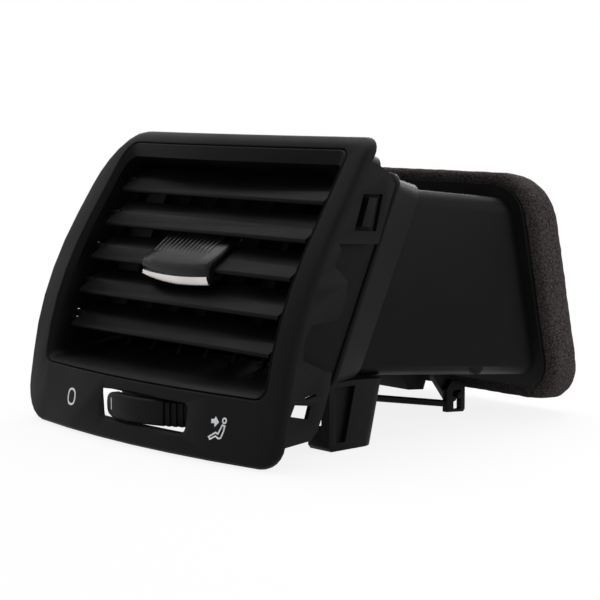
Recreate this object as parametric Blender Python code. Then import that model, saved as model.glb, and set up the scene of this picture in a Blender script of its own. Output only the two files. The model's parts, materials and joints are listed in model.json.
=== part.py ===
"""Dashboard air vent: a bezel with tilting slats, a sliding knob and a thumbwheel, in front of a
short duct with a shut-off flap and a foam seal.

Blender units are metres and +Z is up.  The vent stands as it was photographed, on the lower edge
of its bezel and on two feet.  The face looks along -Y, and the origin is under the middle of the
whole vent.  Depths below are measured from the frontmost point of the face, towards the back.
Sizes are written in millimetres and multiplied by MM where a shape is made.
"""
import bmesh
import bpy
import math
from mathutils import Matrix, Vector

MM = 0.001
FIT = 0.3                       # gap left between touching or sliding pieces

# Overall sizes
VENT_DEPTH = 187.8              # front of the face to the back of the seal
BEZEL_WIDTH = 162.6             # at its widest
BEZEL_HEIGHT = 119.5

# The face: upright at the bottom, leaning back further up, and bowed in plan
FACE_LOWER_LEAN = 10.0          # degrees from upright
FACE_UPPER_LEAN = 33.5
FACE_BEND_LOW = 30.0            # heights between which the lean changes
FACE_BEND_HIGH = 85.0
FACE_BOW_RADIUS = 400.0

# Bezel
BEZEL_WALL = 2.6
BEZEL_RIM = 5.0                 # depth of the rim round the face, at the top
BEZEL_RIM_SIDE = 3.4            # and where the sides stand out furthest
BEZEL_SIDE_BOW = 2.3            # the sides draw in this much towards the top
BEZEL_WIDEST = 45.0             # height where the bezel is widest
BEZEL_EDGE_RADIUS = 2.6
BEZEL_CORNERS = (16.0, 9.0, 7.0, 23.0)      # bottom left, bottom right, top right, top left
CORNER_STEPS = 6
MOUTH_SIDE_LEFT = 14.5          # from the mouth to the bezel's sides, top and bottom
MOUTH_SIDE_RIGHT = 8.8
MOUTH_SIDE_TOP = 4.3
MOUTH_LOW = 24.8
MOUTH_LEFT = -BEZEL_WIDTH / 2.0 + MOUTH_SIDE_LEFT
MOUTH_RIGHT = BEZEL_WIDTH / 2.0 - MOUTH_SIDE_RIGHT
MOUTH_HIGH = BEZEL_HEIGHT - MOUTH_SIDE_TOP
MOUTH_CORNERS = (5.0, 5.0, 4.0, 9.0)
SKIRT_STEP = 5.3                # the skirt is set in from the rim at the sides
SKIRT_STEP_LOW = 3.0
SKIRT_STEP_TOP = 5.2
SKIRT_WALL = 2.0
SKIRT_REAR_LOW = (34.0, 4.0)    # depth and height of the skirt's rear end
SKIRT_REAR_HIGH = (77.5, BEZEL_HEIGHT - 9.5)

# Inner frame, which holds the slats and the vanes
LIP_DEPTH = 3.2                 # from the face to the airway's front edge
LIP_SIDE = 2.2                  # the lip's outer side, inside the bezel's mouth
LIP_WIDTH = 2.3                 # from the seam to the airway
LIP_WIDTH_TOP = 6.0
AIRWAY_LEFT = MOUTH_LEFT + LIP_WIDTH
AIRWAY_RIGHT = MOUTH_RIGHT - LIP_WIDTH
AIRWAY_LOW = MOUTH_LOW + LIP_WIDTH
AIRWAY_HIGH = MOUTH_HIGH - LIP_WIDTH_TOP
THROAT_DEPTH = 10.5             # the airway narrows down to here, behind the face
THROAT_RIGHT = AIRWAY_RIGHT - 4.0
THROAT_DROP = 2.4
THROAT_WALL = 1.3
THROAT_CORNERS = (4.5, 4.5, 4.5, 9.5)
AIRWAY_REAR_HALF_WIDTH = BEZEL_WIDTH / 2.0 - 15.9
AIRWAY_CORNERS = (3.0, 3.0, 3.0, 7.0)
FRAME_CORNERS = (4.5, 4.5, 4.5, 11.5)
FRAME_WALL = 1.8
FRAME_REAR_LOW = (50.0, 30.5)
FRAME_REAR_HIGH = (86.0, BEZEL_HEIGHT - 21.0)

# Slats
SLAT_COUNT = 5
SLAT_LOWEST = 39.2              # height of the lowest slat's front edge
SLAT_TOP_ROOM = 14.8            # from the airway's top down to the highest slat's front edge
SLAT_PITCH = (AIRWAY_HIGH - SLAT_TOP_ROOM - SLAT_LOWEST) / (SLAT_COUNT - 1)
SLAT_SETBACK = 12.0
SLAT_CHORD = 16.0
SLAT_THICK = 2.2
SLAT_TILT = 34.0                # front edge down, as photographed
SLAT_LEFT = AIRWAY_LEFT + 3.6
SLAT_RIGHT = AIRWAY_RIGHT - 5.1
PIVOT_RADIUS = 1.6
LINK_PIN_RADIUS = 1.1
LINK_PIN_BACK = 8.3             # link pin from the slat's axis, along and under the blade
LINK_PIN_UNDER = 5.6
LINK_BAR_WIDTH = 4.0
LINK_BAR_THICK = 1.8

# Knob
KNOB_WIDTH = 42.0
KNOB_FRONT = 3.2                # how far it stands out in front of the slat
KNOB_LENGTH = 22.4
KNOB_JAW = 12.5                 # length of its jaw under the slat
KNOB_TOP = 4.4
KNOB_BOTTOM = 4.6
KNOB_BOW = 1.6
KNOB_PLACE = -0.5               # middle of the knob, from the vent's middle
TRIM_THICK = 0.9
FORK_GAP = 7.4
FORK_TINE = 2.0

# Vertical vanes
VANE_COUNT = 7
VANE_SIDE = 13.2                # from the airway's rear sides to the outer vanes' axes
VANE_PITCH = 2.0 * (AIRWAY_REAR_HALF_WIDTH - VANE_SIDE) / (VANE_COUNT - 1)
VANE_RAKE = 26.0                # their axes lean back
VANE_AXIS_DEPTH = 42.4          # depth of the axes at VANE_AXIS_HEIGHT
VANE_AXIS_HEIGHT = 30.0
VANE_FRONT = 8.0
VANE_BACK = 9.0
VANE_THICK = 1.6
VANE_PIN_RADIUS = 1.2
VANE_LINK_BACK = 6.5

# Housing, duct and rear flange
HOUSING_HALF_WIDTH = AIRWAY_REAR_HALF_WIDTH + 4.8
HOUSING_WALL = 1.5
HOUSING_CORNERS = (5.0, 5.0, 5.0, 6.0)
HOUSING_FRONT_CORNERS = (5.0, 5.0, 5.0, 9.0)
HOUSING_FRONT_LOW = (22.0, 23.0)
HOUSING_FRONT_HIGH = (62.0, BEZEL_HEIGHT - 10.1)
HOUSING_BEAD_LOW = (45.6, 25.4)
HOUSING_BEAD_HIGH = (81.5, BEZEL_HEIGHT - 15.6)
HOUSING_REAR_LOW = (61.0, 25.9)
HOUSING_REAR_HIGH = (97.0, BEZEL_HEIGHT - 19.1)
BEAD_HEIGHT = 1.6
BEAD_WIDTH = 2.4
DUCT_HALF_WIDTH = HOUSING_HALF_WIDTH - 4.0
DUCT_WALL = 1.6
DUCT_FRONT_LOW = (56.0, 28.4)
DUCT_FRONT_HIGH = (91.0, BEZEL_HEIGHT - 20.5)
DUCT_DROP_TOP = 0.105           # fall of the duct's top and floor for each unit of depth
DUCT_DROP_FLOOR = 0.102
DUCT_CORNER = 7.0
SEAL_LEAN = 0.228               # the seal's plane moves back this much for each unit down
SEAL_DEPTH = 16.4
SEAL_SHORT = 1.9                # its plane, 15 up, is this far short of the lower edge
FLANGE_THICK = 2.0
FLANGE_PROUD = 5.5
SEAL_PROUD = 5.7
SEAL_CORNER = 18.5
SEAL_ROUND = 4.5                # rounding of its rear edge
SPIGOT_LENGTH = 12.0            # the duct reaches this far into the seal

# Feet
FOOT_OUTER = HOUSING_HALF_WIDTH - 4.2
FOOT_WIDTH = 12.0
FOOT_WEB = 2.0
FOOT_RECESS = 2.5               # depth of the front pocket
FOOT_ROUND = 7.0                # rounding of the rear outer corner

# Shut-off drive
WHEEL_RADIUS = 48.0
WHEEL_DEPTH = 49.4              # depth of the wheel's axis
WHEEL_HEIGHT = 14.05
WHEEL_RIM_HEIGHT = 10.0
WHEEL_RIM_THICK = 3.6
WHEEL_ARM_THICK = 2.4
WHEEL_HUB_RADIUS = 6.0
WHEEL_PIN_ARM = 30.0
WHEEL_PIN_ANGLE = 24.9          # degrees behind sideways at rest, open
WHEEL_RIM_FROM = -107.6         # the rim's two ends, in degrees from sideways
WHEEL_RIM_TO = -14.0
WHEEL_END_ROUND = 4.5           # the rim's left end is rounded over this many degrees
WHEEL_RIB_FROM = 22.0           # finger ribs, in degrees right of the front
WHEEL_RIB_STEP = 1.65
WHEEL_RIB_COUNT = 8
WHEEL_RIB_RELIEF = 0.9
SLOT_LEFT = -16.0
SLOT_RIGHT = 33.8
SLOT_LOW = 8.4
SLOT_HIGH = 19.7
ROD_RADIUS = 1.45
FLAP_DEPTH = 132.0
FLAP_HEIGHT = 25.2              # its shaft, just above the duct's floor
FLAP_LENGTH = 65.5
FLAP_THICK = 2.0
FLAP_REST = 8.0                 # degrees above level, pointing forwards, when open
SHAFT_RADIUS = 2.4
CRANK_PLACE = 38.5
CRANK_ARM = 21.0
CRANK_ANGLE = 37.0              # degrees behind hanging, at rest
CRANK_THICK = 3.0

FRONT_Y = -VENT_DEPTH / 2.0


def mix(a, b, t):
    """Point part-way between two (depth, height) pairs."""
    return (a[0] + (b[0] - a[0]) * t, a[1] + (b[1] - a[1]) * t)


def face_rise(height):
    """How far the face has leaned back at a height."""
    lower = math.tan(math.radians(FACE_LOWER_LEAN))
    upper = math.tan(math.radians(FACE_UPPER_LEAN))
    bend = FACE_BEND_HIGH - FACE_BEND_LOW
    along = min(max(height - FACE_BEND_LOW, 0.0), bend)
    above = max(height - FACE_BEND_HIGH, 0.0)
    return lower * height + (upper - lower) * (along ** 2 / (2.0 * bend) + above)


def face_depth(x, height):
    """Depth of the face behind its frontmost point."""
    return x * x / (2.0 * FACE_BOW_RADIUS) + face_rise(height)


def drawn_in(height):
    """How far the bezel's sides lie inside its full width at a height."""
    return BEZEL_SIDE_BOW * ((height - BEZEL_WIDEST) / (BEZEL_HEIGHT - BEZEL_WIDEST)) ** 2


def rim_depth(height):
    """Depth of the rim behind the face."""
    return BEZEL_RIM_SIDE + (BEZEL_RIM - BEZEL_RIM_SIDE) * drawn_in(height) / BEZEL_SIDE_BOW


def place(x, depth, height):
    """World position, in metres, of a point given by x, depth and height."""
    return Vector((x, FRONT_Y + depth, height)) * MM


def collection(name):
    made = bpy.data.collections.new(name)
    bpy.context.scene.collection.children.link(made)
    return made


def material(name, colour, roughness, metallic=0.0):
    made = bpy.data.materials.new(name)
    made.use_nodes = True
    shader = made.node_tree.nodes["Principled BSDF"]
    shader.inputs["Base Color"].default_value = (*colour, 1.0)
    shader.inputs["Roughness"].default_value = roughness
    shader.inputs["Metallic"].default_value = metallic
    return made


def add_object(name, mesh, finish=None, group=None):
    made = bpy.data.objects.new(name, mesh)
    (group or PARTS).objects.link(made)
    if finish is not None:
        mesh.materials.clear()
        mesh.materials.append(finish)
    return made


def as_cutter(made):
    """A cutter stays out of the render and shows as wire."""
    made.hide_render = True
    made.display_type = "WIRE"
    return made


def boolean(target, other, operation="DIFFERENCE"):
    cut = target.modifiers.new(operation.title(), "BOOLEAN")
    cut.operation = operation
    cut.solver = "EXACT"
    cut.object = other
    return target


def smooth(made, angle=35.0):
    made.data.shade_smooth()
    made.data.set_sharp_from_angle(angle=math.radians(angle))
    return made


def mesh_from(build, name):
    """New mesh filled by a function that works on a bmesh."""
    work = bmesh.new()
    build(work)
    bmesh.ops.recalc_face_normals(work, faces=work.faces)
    mesh = bpy.data.meshes.new(name)
    work.to_mesh(mesh)
    work.free()
    return mesh


def loft(name, rings, finish=None, group=None, ring_closed=True):
    """Skin over rings of points.  A closed ring of rings is a tube wall, else the ends are capped."""
    def build(work):
        rows = [[work.verts.new(point) for point in ring] for ring in rings]
        count = len(rows[0])
        pairs = list(zip(rows, rows[1:]))
        if ring_closed:
            pairs.append((rows[-1], rows[0]))
        for near, far in pairs:
            for i in range(count):
                j = (i + 1) % count
                work.faces.new((near[i], near[j], far[j], far[i]))
        if not ring_closed:
            work.faces.new(rows[0])
            work.faces.new(rows[-1])
    return add_object(name, mesh_from(build, name), finish, group)


def rounded_loop(left, right, low, high, corners, steps=4, sides=(6, 7)):
    """Points (x, z) round a rectangle with rounded corners, from the bottom left corner on.

    The corners are bottom left, bottom right, top right and top left.  Each straight side is
    divided too, so that the loop can follow the curved face."""
    centres = (
        (left + corners[0], low + corners[0], 180.0, corners[0]),
        (right - corners[1], low + corners[1], 270.0, corners[1]),
        (right - corners[2], high - corners[2], 0.0, corners[2]),
        (left + corners[3], high - corners[3], 90.0, corners[3]),
    )
    arcs = []
    for x, z, start, radius in centres:
        angles = [math.radians(start + 90.0 * i / steps) for i in range(steps + 1)]
        arcs.append([(x + radius * math.cos(a), z + radius * math.sin(a)) for a in angles])
    loop = []
    for number, arc in enumerate(arcs):
        loop += arc
        following = arcs[(number + 1) % 4][0]
        divisions = sides[number % 2]
        for i in range(1, divisions):
            loop.append(mix(arc[-1], following, i / divisions))
    return loop


def face_ring(loop, behind, drawn=True):
    """The loop's points laid on the face, or at a depth behind it, drawn in as the bezel's sides."""
    ring = []
    for x, z in loop:
        side = x * (1.0 - drawn_in(z) / (BEZEL_WIDTH / 2.0)) if drawn else x
        ring.append(place(side, face_depth(side, z) + behind, z))
    return ring


def rim_ring(loop):
    """The loop laid at the rear edge of the bezel's rim."""
    return [point + Vector((0.0, rim_depth(point.z / MM), 0.0)) * MM for point in face_ring(loop, 0.0)]


def raked_ring(half_width, low, high, corners, steps=4, sides=(6, 7)):
    """Rounded rectangle in a raked plane, from a low and a high (depth, height)."""
    tall = math.dist(low, high)
    loop = rounded_loop(-half_width, half_width, 0.0, tall, corners, steps, sides)
    return [place(x, *mix(low, high, z / tall)) for x, z in loop]


def grown(low, high, amount):
    """The two ends of a raked line, each moved outwards along it."""
    share = amount / math.dist(low, high)
    return mix(low, high, -share), mix(low, high, 1.0 + share)


def side_prism(name, outline, left, right, finish=None, group=None):
    """An outline of (depth, height) points, extruded sideways from left to right."""
    curve = bpy.data.curves.new(name, "CURVE")
    curve.dimensions = "2D"
    curve.fill_mode = "BOTH"
    curve.extrude = (right - left) / 2.0 * MM
    spline = curve.splines.new("POLY")
    spline.points.add(len(outline) - 1)
    for point, (depth, height) in zip(spline.points, outline):
        point.co = ((FRONT_Y + depth) * MM, height * MM, 0.0, 1.0)
    spline.use_cyclic_u = True
    drawn = bpy.data.objects.new(name + "_outline", curve)
    (group or PARTS).objects.link(drawn)
    middle = (left + right) / 2.0 * MM
    # The curve's own x, y and z become the world's y, z and x.
    turn = Matrix(((0, 0, 1, middle), (1, 0, 0, 0), (0, 1, 0, 0), (0, 0, 0, 1)))
    drawn.matrix_world = turn
    return curve_to_mesh(name, drawn, turn, finish, group)


def curve_to_mesh(name, drawn, turn, finish=None, group=None):
    """Replaces a curve object by a mesh object whose caps are welded on."""
    bpy.context.view_layer.update()
    evaluated = drawn.evaluated_get(bpy.context.evaluated_depsgraph_get())
    mesh = bpy.data.meshes.new_from_object(evaluated)
    work = bmesh.new()
    work.from_mesh(mesh)
    bmesh.ops.remove_doubles(work, verts=work.verts, dist=0.00001)
    bmesh.ops.transform(work, matrix=turn, verts=work.verts)
    bmesh.ops.recalc_face_normals(work, faces=work.faces)
    work.to_mesh(mesh)
    work.free()
    bpy.data.objects.remove(drawn)
    mesh.name = name
    return add_object(name, mesh, finish, group)


def cylinder(name, start, end, radius, finish=None, group=None, sides=20, radius_end=None):
    """A round bar between two (x, depth, height) points."""
    a = place(*start)
    b = place(*end)
    turn = (b - a).to_track_quat("Z", "Y").to_matrix().to_4x4()

    def build(work):
        bmesh.ops.create_cone(
            work, cap_ends=True, segments=sides, radius1=radius * MM,
            radius2=(radius if radius_end is None else radius_end) * MM, depth=(b - a).length)
        bmesh.ops.transform(work, matrix=Matrix.Translation((a + b) / 2.0) @ turn, verts=work.verts)
    return add_object(name, mesh_from(build, name), finish, group)


def block(name, low, high, finish=None, group=None):
    """A box between two (x, depth, height) corners."""
    a = place(*low)
    b = place(*high)

    def build(work):
        bmesh.ops.create_cube(work, size=1.0)
        bmesh.ops.scale(work, vec=b - a, verts=work.verts)
        bmesh.ops.translate(work, vec=(a + b) / 2.0, verts=work.verts)
    return add_object(name, mesh_from(build, name), finish, group)


def join_to(target, pieces):
    """Unites a piece's features with it."""
    for piece in pieces:
        boolean(target, as_cutter(piece), "UNION")
    return target


def cut_from(target, cutters):
    for cutter in cutters:
        boolean(target, as_cutter(cutter), "DIFFERENCE")
    return target


def pivot(name, position, children=()):
    """An empty on a joint's axis, which carries the pieces that turn about it."""
    made = bpy.data.objects.new(name, None)
    made.empty_display_size = 0.005
    made.location = position
    PARTS.objects.link(made)
    bpy.context.view_layer.update()
    for child in children:
        child.parent = made
        child.matrix_parent_inverse = made.matrix_world.inverted()
    return made


# Bezel

def mouth_loop(grow):
    """The bezel's mouth, grown outwards by a clearance."""
    return rounded_loop(MOUTH_LEFT - grow, MOUTH_RIGHT + grow, MOUTH_LOW - grow, MOUTH_HIGH + grow,
                        MOUTH_CORNERS, CORNER_STEPS)


def make_bezel():
    """Bowed front with a rounded rim, a stepped-in skirt and clip tabs at both sides."""
    half = BEZEL_WIDTH / 2.0

    def outer(side, top, low):
        corners = [max(radius - low, 1.5) for radius in BEZEL_CORNERS]
        return rounded_loop(-half + side, half - side, low, BEZEL_HEIGHT - top, corners,
                            CORNER_STEPS)

    radius = BEZEL_EDGE_RADIUS
    rings = [face_ring(mouth_loop(0.0), BEZEL_WALL), face_ring(mouth_loop(0.0), 0.5),
             face_ring(mouth_loop(0.5), 0.0)]
    for angle in (90.0, 60.0, 30.0, 0.0):
        inset = radius * (1.0 - math.cos(math.radians(angle)))
        behind = radius * (1.0 - math.sin(math.radians(angle)))
        rings.append(face_ring(outer(inset, inset, inset), behind))
    rings.append(rim_ring(outer(0.0, 0.0, 0.0)))
    rings.append(rim_ring(outer(SKIRT_STEP, SKIRT_STEP_TOP, SKIRT_STEP_LOW)))
    rings += [skirt_rear_ring(0.0), skirt_rear_ring(SKIRT_WALL)]
    rings.append(rim_ring(outer(SKIRT_STEP + SKIRT_WALL, SKIRT_STEP_TOP + SKIRT_WALL,
                                SKIRT_STEP_LOW + SKIRT_WALL)))
    made = loft("bezel", rings, FINISH["trim"])
    cut_from(made, [skirt_cutter(), slot_cutter(), wheel_relief(), *window_cutters()])
    return smooth(made)


def skirt_rear_ring(inset):
    half = BEZEL_WIDTH / 2.0 - SKIRT_STEP - 0.4 - inset
    low, high = grown(SKIRT_REAR_LOW, SKIRT_REAR_HIGH, -inset)
    return raked_ring(half, low, high, (6.0,) * 4, CORNER_STEPS)


# Rear edge of the skirt seen from the side, as (depth, height) from the top down: the upper clip
# tab, the middle tab and the lower tab, with the notches between them.
SKIRT_EDGE = (
    (67.5, 125.0), (68.0, 111.5), (66.9, 108.6), (70.7, 105.9), (73.9, 101.6), (74.2, 98.0),
    (65.6, 79.3), (44.9, 80.5), (45.9, 78.2), (42.4, 72.5), (49.0, 66.4), (48.5, 59.0),
    (45.0, 52.6), (30.9, 51.2), (27.5, 45.9), (26.5, 38.7), (37.4, 33.8), (41.0, 32.7),
    (40.2, 27.0), (37.7, 19.7), (33.9, 11.5), (30.5, 8.3), (20.1, 7.3), (13.4, 6.4), (13.2, -6.0),
)


def skirt_cutter():
    behind = ((130.0, -6.0), (130.0, 125.0))
    reach = BEZEL_WIDTH / 2.0 + 5.0
    return side_prism("skirt_edge_cut", SKIRT_EDGE + behind, -reach, reach, group=CUTTERS)


def slot_cutter():
    """Slot for the thumbwheel, with a scooped mouth."""
    def loop(ends, edges, radius):
        return rounded_loop(SLOT_LEFT - ends, SLOT_RIGHT + ends, SLOT_LOW - edges,
                            SLOT_HIGH + edges, (radius,) * 4, 4, (4, 1))
    rings = [face_ring(loop(7.0, 3.0, 5.5), -4.0), face_ring(loop(3.4, 1.2, 3.9), -0.1),
             face_ring(loop(0.8, 0.2, 2.8), 0.9), face_ring(loop(0.0, 0.0, 2.5), 1.6),
             face_ring(loop(0.0, 0.0, 2.5), 9.0)]
    return loft("slot_cut", rings, group=CUTTERS, ring_closed=False)


def wheel_relief():
    """What the thumbwheel's rim sweeps out of the back of the face."""
    return cylinder("wheel_relief_cut", (0.0, WHEEL_DEPTH, SLOT_LOW), (0.0, WHEEL_DEPTH, SLOT_HIGH),
                    WHEEL_RADIUS + 2.0 * FIT, group=CUTTERS, sides=96)


CLIP_WINDOW = ((57.8, 98.4), (67.6, 98.0), (63.8, 84.2), (52.6, 85.0))
LOWER_WINDOW = ((22.6, 22.6), (30.6, 21.4), (29.0, 16.6), (20.6, 18.5))
SIDE_SLIT = ((27.6, 24.8), (33.0, 25.7), (33.2, 24.9), (27.8, 24.0))


def window_cutters():
    """The clip windows and the lower windows run through both side walls."""
    reach = BEZEL_WIDTH / 2.0 + 2.0
    upper = side_prism("clip_window_cut", CLIP_WINDOW, -reach, reach, group=CUTTERS)
    lower = side_prism("lower_window_cut", LOWER_WINDOW, -reach, reach, group=CUTTERS)
    slit = side_prism("side_slit_cut", SIDE_SLIT, -reach, reach, group=CUTTERS)
    dot = cylinder("pin_hole_cut", (-reach, 28.9, 62.4), (reach, 28.9, 62.4), 0.9,
                   group=CUTTERS, sides=12)
    return [upper, lower, slit, dot]


# Inner frame

def make_inner_frame():
    """Grille frame: a bevelled lip in the bezel's mouth and walls that carry the pivots."""
    def airway(grow, right, high, corners):
        return rounded_loop(AIRWAY_LEFT - grow, right + grow, AIRWAY_LOW - grow, high + grow,
                            corners, CORNER_STEPS)

    wall = FRAME_WALL
    throat_high = AIRWAY_HIGH - THROAT_DROP
    outer_low, outer_high = grown(FRAME_REAR_LOW, FRAME_REAR_HIGH, wall)
    rings = [
        face_ring(airway(0.0, AIRWAY_RIGHT, AIRWAY_HIGH, AIRWAY_CORNERS), LIP_DEPTH),
        face_ring(mouth_loop(-FIT - 0.4), 0.2),
        face_ring(mouth_loop(-FIT), 0.6),
        face_ring(mouth_loop(-FIT), LIP_SIDE),
        face_ring(airway(wall, AIRWAY_RIGHT, AIRWAY_HIGH, FRAME_CORNERS), LIP_DEPTH + 2.0),
        face_ring(airway(THROAT_WALL, THROAT_RIGHT, throat_high, THROAT_CORNERS), THROAT_DEPTH, False),
        raked_ring(AIRWAY_REAR_HALF_WIDTH + wall, outer_low, outer_high, (4.0,) * 4, CORNER_STEPS),
        raked_ring(AIRWAY_REAR_HALF_WIDTH, FRAME_REAR_LOW, FRAME_REAR_HIGH, (3.0,) * 4,
                   CORNER_STEPS),
        face_ring(airway(0.0, THROAT_RIGHT, throat_high, AIRWAY_CORNERS), THROAT_DEPTH - 1.2, False),
    ]
    made = loft("inner_frame", rings, FINISH["frame"])
    holes = []
    reach = AIRWAY_REAR_HALF_WIDTH + wall + 2.6
    for number in range(SLAT_COUNT):
        depth, height = slat_axis(number)
        holes.append(cylinder(f"slat_hole_cut_{number + 1}", (-reach, depth, height),
                              (reach, depth, height), PIVOT_RADIUS + FIT, group=CUTTERS, sides=16))
    for number in range(VANE_COUNT):
        x = vane_place(number)
        holes.append(cylinder(f"vane_hole_cut_{number + 1}", (x, *vane_point(0.0, -8.0)),
                              (x, *vane_point(0.0, VANE_HIGH + 10.0)), VANE_PIN_RADIUS + FIT,
                              group=CUTTERS, sides=12))
    cut_from(made, holes)
    return smooth(made)


# Slats, their link and the knob

def slat_front(number):
    """(depth, height) of a slat's front edge, counted from the lowest."""
    height = SLAT_LOWEST + SLAT_PITCH * number
    return (SLAT_SETBACK + face_rise(height), height)


def on_slat(number, along, above, turned=0.0):
    """(depth, height) of a point on a slat: along its blade from the front edge, and above it."""
    tilt = math.radians(SLAT_TILT - turned)
    depth, height = slat_front(number)
    return (depth + along * math.cos(tilt) - above * math.sin(tilt),
            height + along * math.sin(tilt) + above * math.cos(tilt))


def slat_axis(number):
    return on_slat(number, SLAT_CHORD / 2.0, 0.0)


def link_pin(number):
    return on_slat(number, SLAT_CHORD / 2.0 + LINK_PIN_BACK, -LINK_PIN_UNDER)


def slat_section(number):
    """Blade profile: a rounded, thicker front edge and a thin rear edge."""
    half = SLAT_THICK / 2.0
    nose = [(half - half * math.sin(math.radians(a)), half * math.cos(math.radians(a)))
            for a in (0, 30, 60, 90, 120, 150, 180)]
    tail = [(SLAT_CHORD, -half * 0.55), (SLAT_CHORD, half * 0.55), (SLAT_CHORD * 0.5, half * 0.95)]
    return [on_slat(number, along, above) for along, above in nose + tail]


def make_slat(number):
    """One slat with its end plates, pivot pins and the pin for the link."""
    name = f"slat_{number + 1}"
    made = side_prism(name, slat_section(number), SLAT_LEFT, SLAT_RIGHT, FINISH["slat"])
    axis = slat_axis(number)
    pin = link_pin(number)
    wall = AIRWAY_REAR_HALF_WIDTH + FRAME_WALL
    link_end = SLAT_LEFT - 0.2 - FIT - LINK_BAR_THICK - FIT
    features = [
        cylinder(f"{name}_left_pin", (-wall, *axis), (SLAT_LEFT + 2.5, *axis), PIVOT_RADIUS,
                 group=CUTTERS, sides=16),
        cylinder(f"{name}_right_pin", (SLAT_RIGHT - 2.5, *axis), (wall, *axis), PIVOT_RADIUS,
                 group=CUTTERS, sides=16),
        cylinder(f"{name}_link_pin", (SLAT_LEFT + 1.0, *pin), (link_end, *pin), LINK_PIN_RADIUS,
                 group=CUTTERS, sides=12),
    ]
    ear = [on_slat(number, SLAT_CHORD / 2.0 + along, above) for along, above in
           ((-3.0, 1.0), (7.0, 0.6), (LINK_PIN_BACK + 2.0, -LINK_PIN_UNDER + 0.8),
            (LINK_PIN_BACK + 1.0, -LINK_PIN_UNDER - 1.9), (LINK_PIN_BACK - 1.8, -LINK_PIN_UNDER - 1.4),
            (-3.0, -1.0))]
    features.append(side_prism(f"{name}_ear", ear, SLAT_LEFT - 0.2, SLAT_LEFT + 1.6, group=CUTTERS))
    join_to(made, features)
    return smooth(made, 30.0)


def make_slat_link():
    """Bar at the slats' left ends that makes them tilt together."""
    half = LINK_BAR_WIDTH / 2.0
    pins = [link_pin(number) for number in range(SLAT_COUNT)]
    first = mix(pins[0], pins[1], -half / SLAT_PITCH)
    last = mix(pins[-1], pins[-2], -half / SLAT_PITCH)
    path = [first, *pins[1:-1], last]
    front = [(depth - half * 0.95, height + half * 0.3) for depth, height in path]
    back = [(depth + half * 0.95, height - half * 0.3) for depth, height in reversed(path)]
    right = SLAT_LEFT - 0.2 - FIT
    made = side_prism("slat_link", front + back, right - LINK_BAR_THICK, right, FINISH["frame"])
    holes = [cylinder(f"link_hole_cut_{i + 1}", (right - 4.0, *pin), (right + 2.0, *pin),
                      LINK_PIN_RADIUS + FIT, group=CUTTERS, sides=12)
             for i, pin in enumerate(pins)]
    return cut_from(made, holes)


KNOB_SLAT = SLAT_COUNT // 2


def knob_ring(x, shrink):
    """Section of the knob at x: a nose in front, with jaws over and under the blade."""
    side = 1.0 - (2.0 * (x - KNOB_PLACE) / KNOB_WIDTH) ** 2
    nose = -KNOB_FRONT - KNOB_BOW * side + shrink
    rear = KNOB_LENGTH - KNOB_FRONT - shrink
    top = KNOB_TOP - shrink
    low = -KNOB_BOTTOM + shrink
    jaw = SLAT_THICK / 2.0 + FIT
    outline = (
        (nose + 3.4, top), (nose + 1.4, top - 0.9), (nose + 0.3, top - 2.6), (nose, top - 4.4),
        (nose + 0.5, low + 1.5), (nose + 2.2, low), (KNOB_JAW - 3.5, low + 0.5), (KNOB_JAW, -jaw - 0.6),
        (KNOB_JAW, -jaw), (-FIT, -jaw), (-FIT, jaw), (rear, jaw), (rear, jaw + 0.8),
        (rear - 1.6, top - 0.9), (rear - 5.0, top - 0.5), (7.0, top - 0.5),
    )
    return [place(x, *on_slat(KNOB_SLAT, along, above)) for along, above in outline]


def make_knob():
    """Knob that clips round the middle slat and slides along it, with a fork for the middle vane."""
    half = KNOB_WIDTH / 2.0
    stations = [(-half, 1.0), (-half + 0.4, 0.4), (-half + 1.1, 0.0)]
    stations += [(half * share, 0.0) for share in (-0.6, -0.2, 0.2, 0.6)]
    stations += [(half - 1.1, 0.0), (half - 0.4, 0.4), (half, 1.0)]
    rings = [knob_ring(KNOB_PLACE + x, shrink) for x, shrink in stations]
    made = loft("knob", rings, FINISH["knob"], ring_closed=False)
    jaw = SLAT_THICK / 2.0 + FIT
    arm = [on_slat(KNOB_SLAT, along, above) for along, above in
           ((8.5, -jaw - 0.1), (8.5, -4.1), (14.0, -5.2), (22.4, -8.2), (23.6, -5.4), (17.5, -3.0),
            (12.2, -jaw - 0.1))]
    half_fork = FORK_GAP / 2.0 + FORK_TINE
    fork = side_prism("knob_fork", arm, -half_fork, half_fork, group=CUTTERS)
    gap = [on_slat(KNOB_SLAT, along, above) for along, above in
           ((15.0, -12.0), (15.0, 0.0), (28.0, 0.0), (28.0, -12.0))]
    slot = side_prism("fork_gap_cut", gap, -FORK_GAP / 2.0, FORK_GAP / 2.0, group=CUTTERS)
    cut_from(fork, [slot])
    join_to(made, [fork])
    seat = loft("trim_seat_cut", trim_rings(0.2), group=CUTTERS, ring_closed=False)
    cut_from(made, [seat])
    return smooth(made, 40.0)


def trim_rings(extra):
    """The bright strip: it follows the knob's nose and narrows towards its left end."""
    half = KNOB_WIDTH / 2.0 - 1.2
    rings = []
    for share in (-1.0, -0.8, -0.5, -0.1, 0.3, 0.7, 1.0):
        x = KNOB_PLACE + half * share
        side = 1.0 - (2.0 * (x - KNOB_PLACE) / KNOB_WIDTH) ** 2
        nose = -KNOB_FRONT - KNOB_BOW * side
        tall = 1.0 + 3.0 * min(1.0, (share + 1.0) / 0.9) ** 0.6
        high = -0.1 + extra
        low = -0.1 - tall - extra
        back = TRIM_THICK + extra
        outline = ((nose - 0.5, high), (nose - 0.5, low + 0.5), (nose + 0.1, low),
                   (nose + back + 0.6, low), (nose + back, high))
        spread = extra * (1.0 if share > 0 else -1.0) if abs(share) == 1.0 else 0.0
        rings.append([place(x + spread, *on_slat(KNOB_SLAT, *point)) for point in outline])
    return rings


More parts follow.
